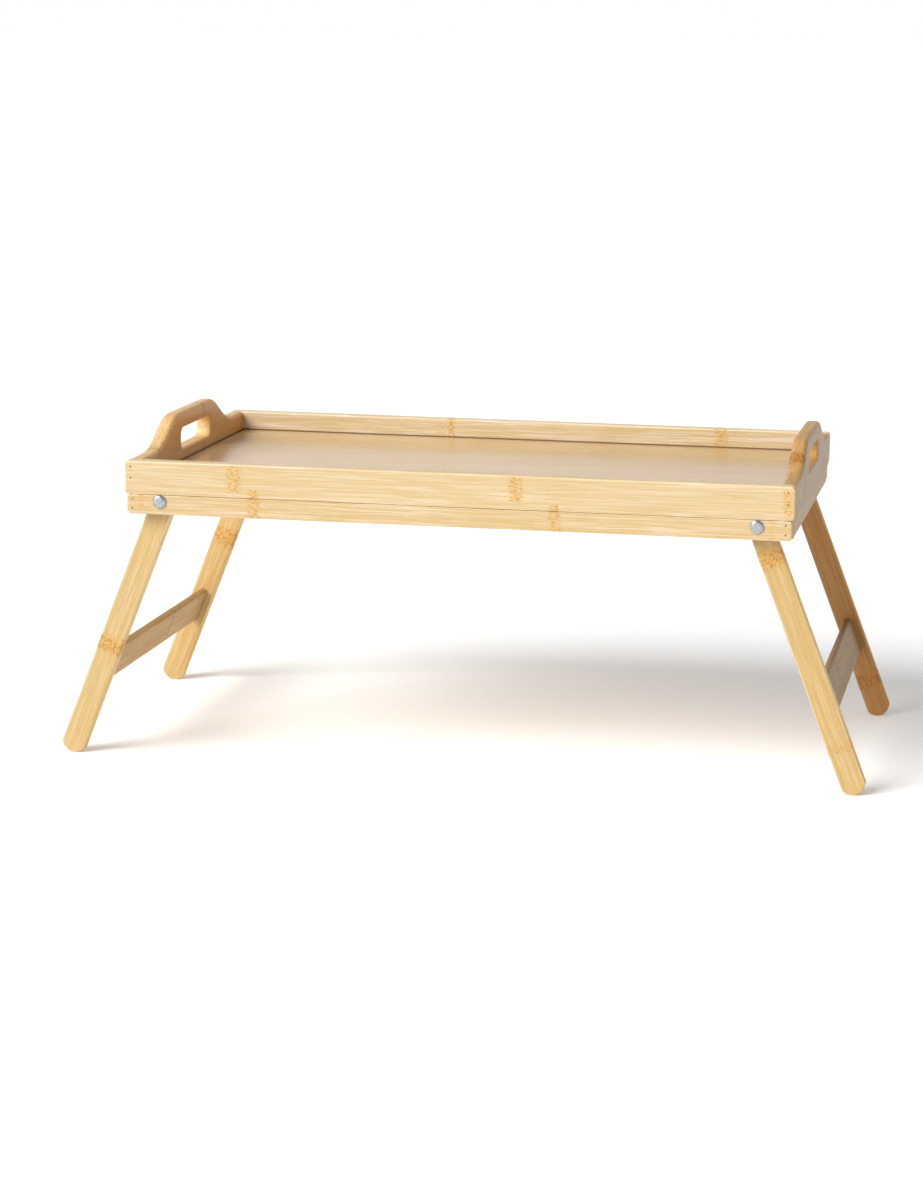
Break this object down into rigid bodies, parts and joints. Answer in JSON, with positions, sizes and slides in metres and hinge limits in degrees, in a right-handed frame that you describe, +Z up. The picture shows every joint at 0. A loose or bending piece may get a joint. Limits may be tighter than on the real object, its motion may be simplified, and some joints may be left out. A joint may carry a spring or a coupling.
{
  "type": "folding tray table",
  "caption": "Shallow rectangular bamboo tray with raised handle boards at its ends, standing on two splayed leg frames that fold flat under it.",
  "frame": {"origin": "on the floor under the middle of the tray, with the legs folded out", "axes": "+X along the tray, +Y from its front to its back, +Z up"},
  "size_m": [0.6126, 0.3044, 0.251],
  "materials": {
    "rail_bamboo": "satin lacquered bamboo strip, fine lengthwise grain",
    "board_bamboo": "satin lacquered bamboo, slightly darker",
    "leg_bamboo": "satin lacquered bamboo",
    "panel_bamboo": "smooth satin veneer",
    "zinc_steel": "bright zinc plate",
    "pin_steel": "dull steel, sunk in the wood"
  },
  "bodies": {
    "tray": {"front_upper_rail": "rail_bamboo", "back_upper_rail": "rail_bamboo", "left_handle_board": "board_bamboo", "right_handle_board": "board_bamboo", "tray_panel": "panel_bamboo", "front_lower_rail": "rail_bamboo", "back_lower_rail": "rail_bamboo", "left_lower_end_rail": "board_bamboo", "right_lower_end_rail": "board_bamboo", "left_front_pivot_bolt": "zinc_steel", "left_back_pivot_bolt": "zinc_steel", "right_front_pivot_bolt": "zinc_steel", "right_back_pivot_bolt": "zinc_steel", "left_front_spacer_washer": "zinc_steel", "left_back_spacer_washer": "zinc_steel", "right_front_spacer_washer": "zinc_steel", "right_back_spacer_washer": "zinc_steel", "left_front_inner_washer": "zinc_steel", "left_back_inner_washer": "zinc_steel", "right_front_inner_washer": "zinc_steel", "right_back_inner_washer": "zinc_steel", "left_front_lock_nut": "zinc_steel", "left_back_lock_nut": "zinc_steel", "right_front_lock_nut": "zinc_steel", "right_back_lock_nut": "zinc_steel", "front_left_upper_pin_1": "pin_steel", "front_left_upper_pin_2": "pin_steel", "front_left_lower_pin_1": "pin_steel", "front_left_lower_pin_2": "pin_steel", "front_right_upper_pin_1": "pin_steel", "front_right_upper_pin_2": "pin_steel", "front_right_lower_pin_1": "pin_steel", "front_right_lower_pin_2": "pin_steel", "back_left_upper_pin_1": "pin_steel", "back_left_upper_pin_2": "pin_steel", "back_left_lower_pin_1": "pin_steel", "back_left_lower_pin_2": "pin_steel", "back_right_upper_pin_1": "pin_steel", "back_right_upper_pin_2": "pin_steel", "back_right_lower_pin_1": "pin_steel", "back_right_lower_pin_2": "pin_steel"},
    "left_leg_frame": {"left_front_leg": "leg_bamboo", "left_back_leg": "leg_bamboo", "left_stretcher": "leg_bamboo"},
    "right_leg_frame": {"right_front_leg": "leg_bamboo", "right_back_leg": "leg_bamboo", "right_stretcher": "leg_bamboo"}
  },
  "joints": [
    {"name": "left_leg_fold", "type": "hinge", "parent": "tray", "child": "left_leg_frame", "pos_m": [-0.223, 0, 0.199], "axis": [0, -1, 0], "range_deg": [0, 111.2]},
    {"name": "right_leg_fold", "type": "hinge", "parent": "tray", "child": "right_leg_frame", "pos_m": [0.223, 0, 0.199], "axis": [0, 1, 0], "range_deg": [0, 111.2]}
  ]
}
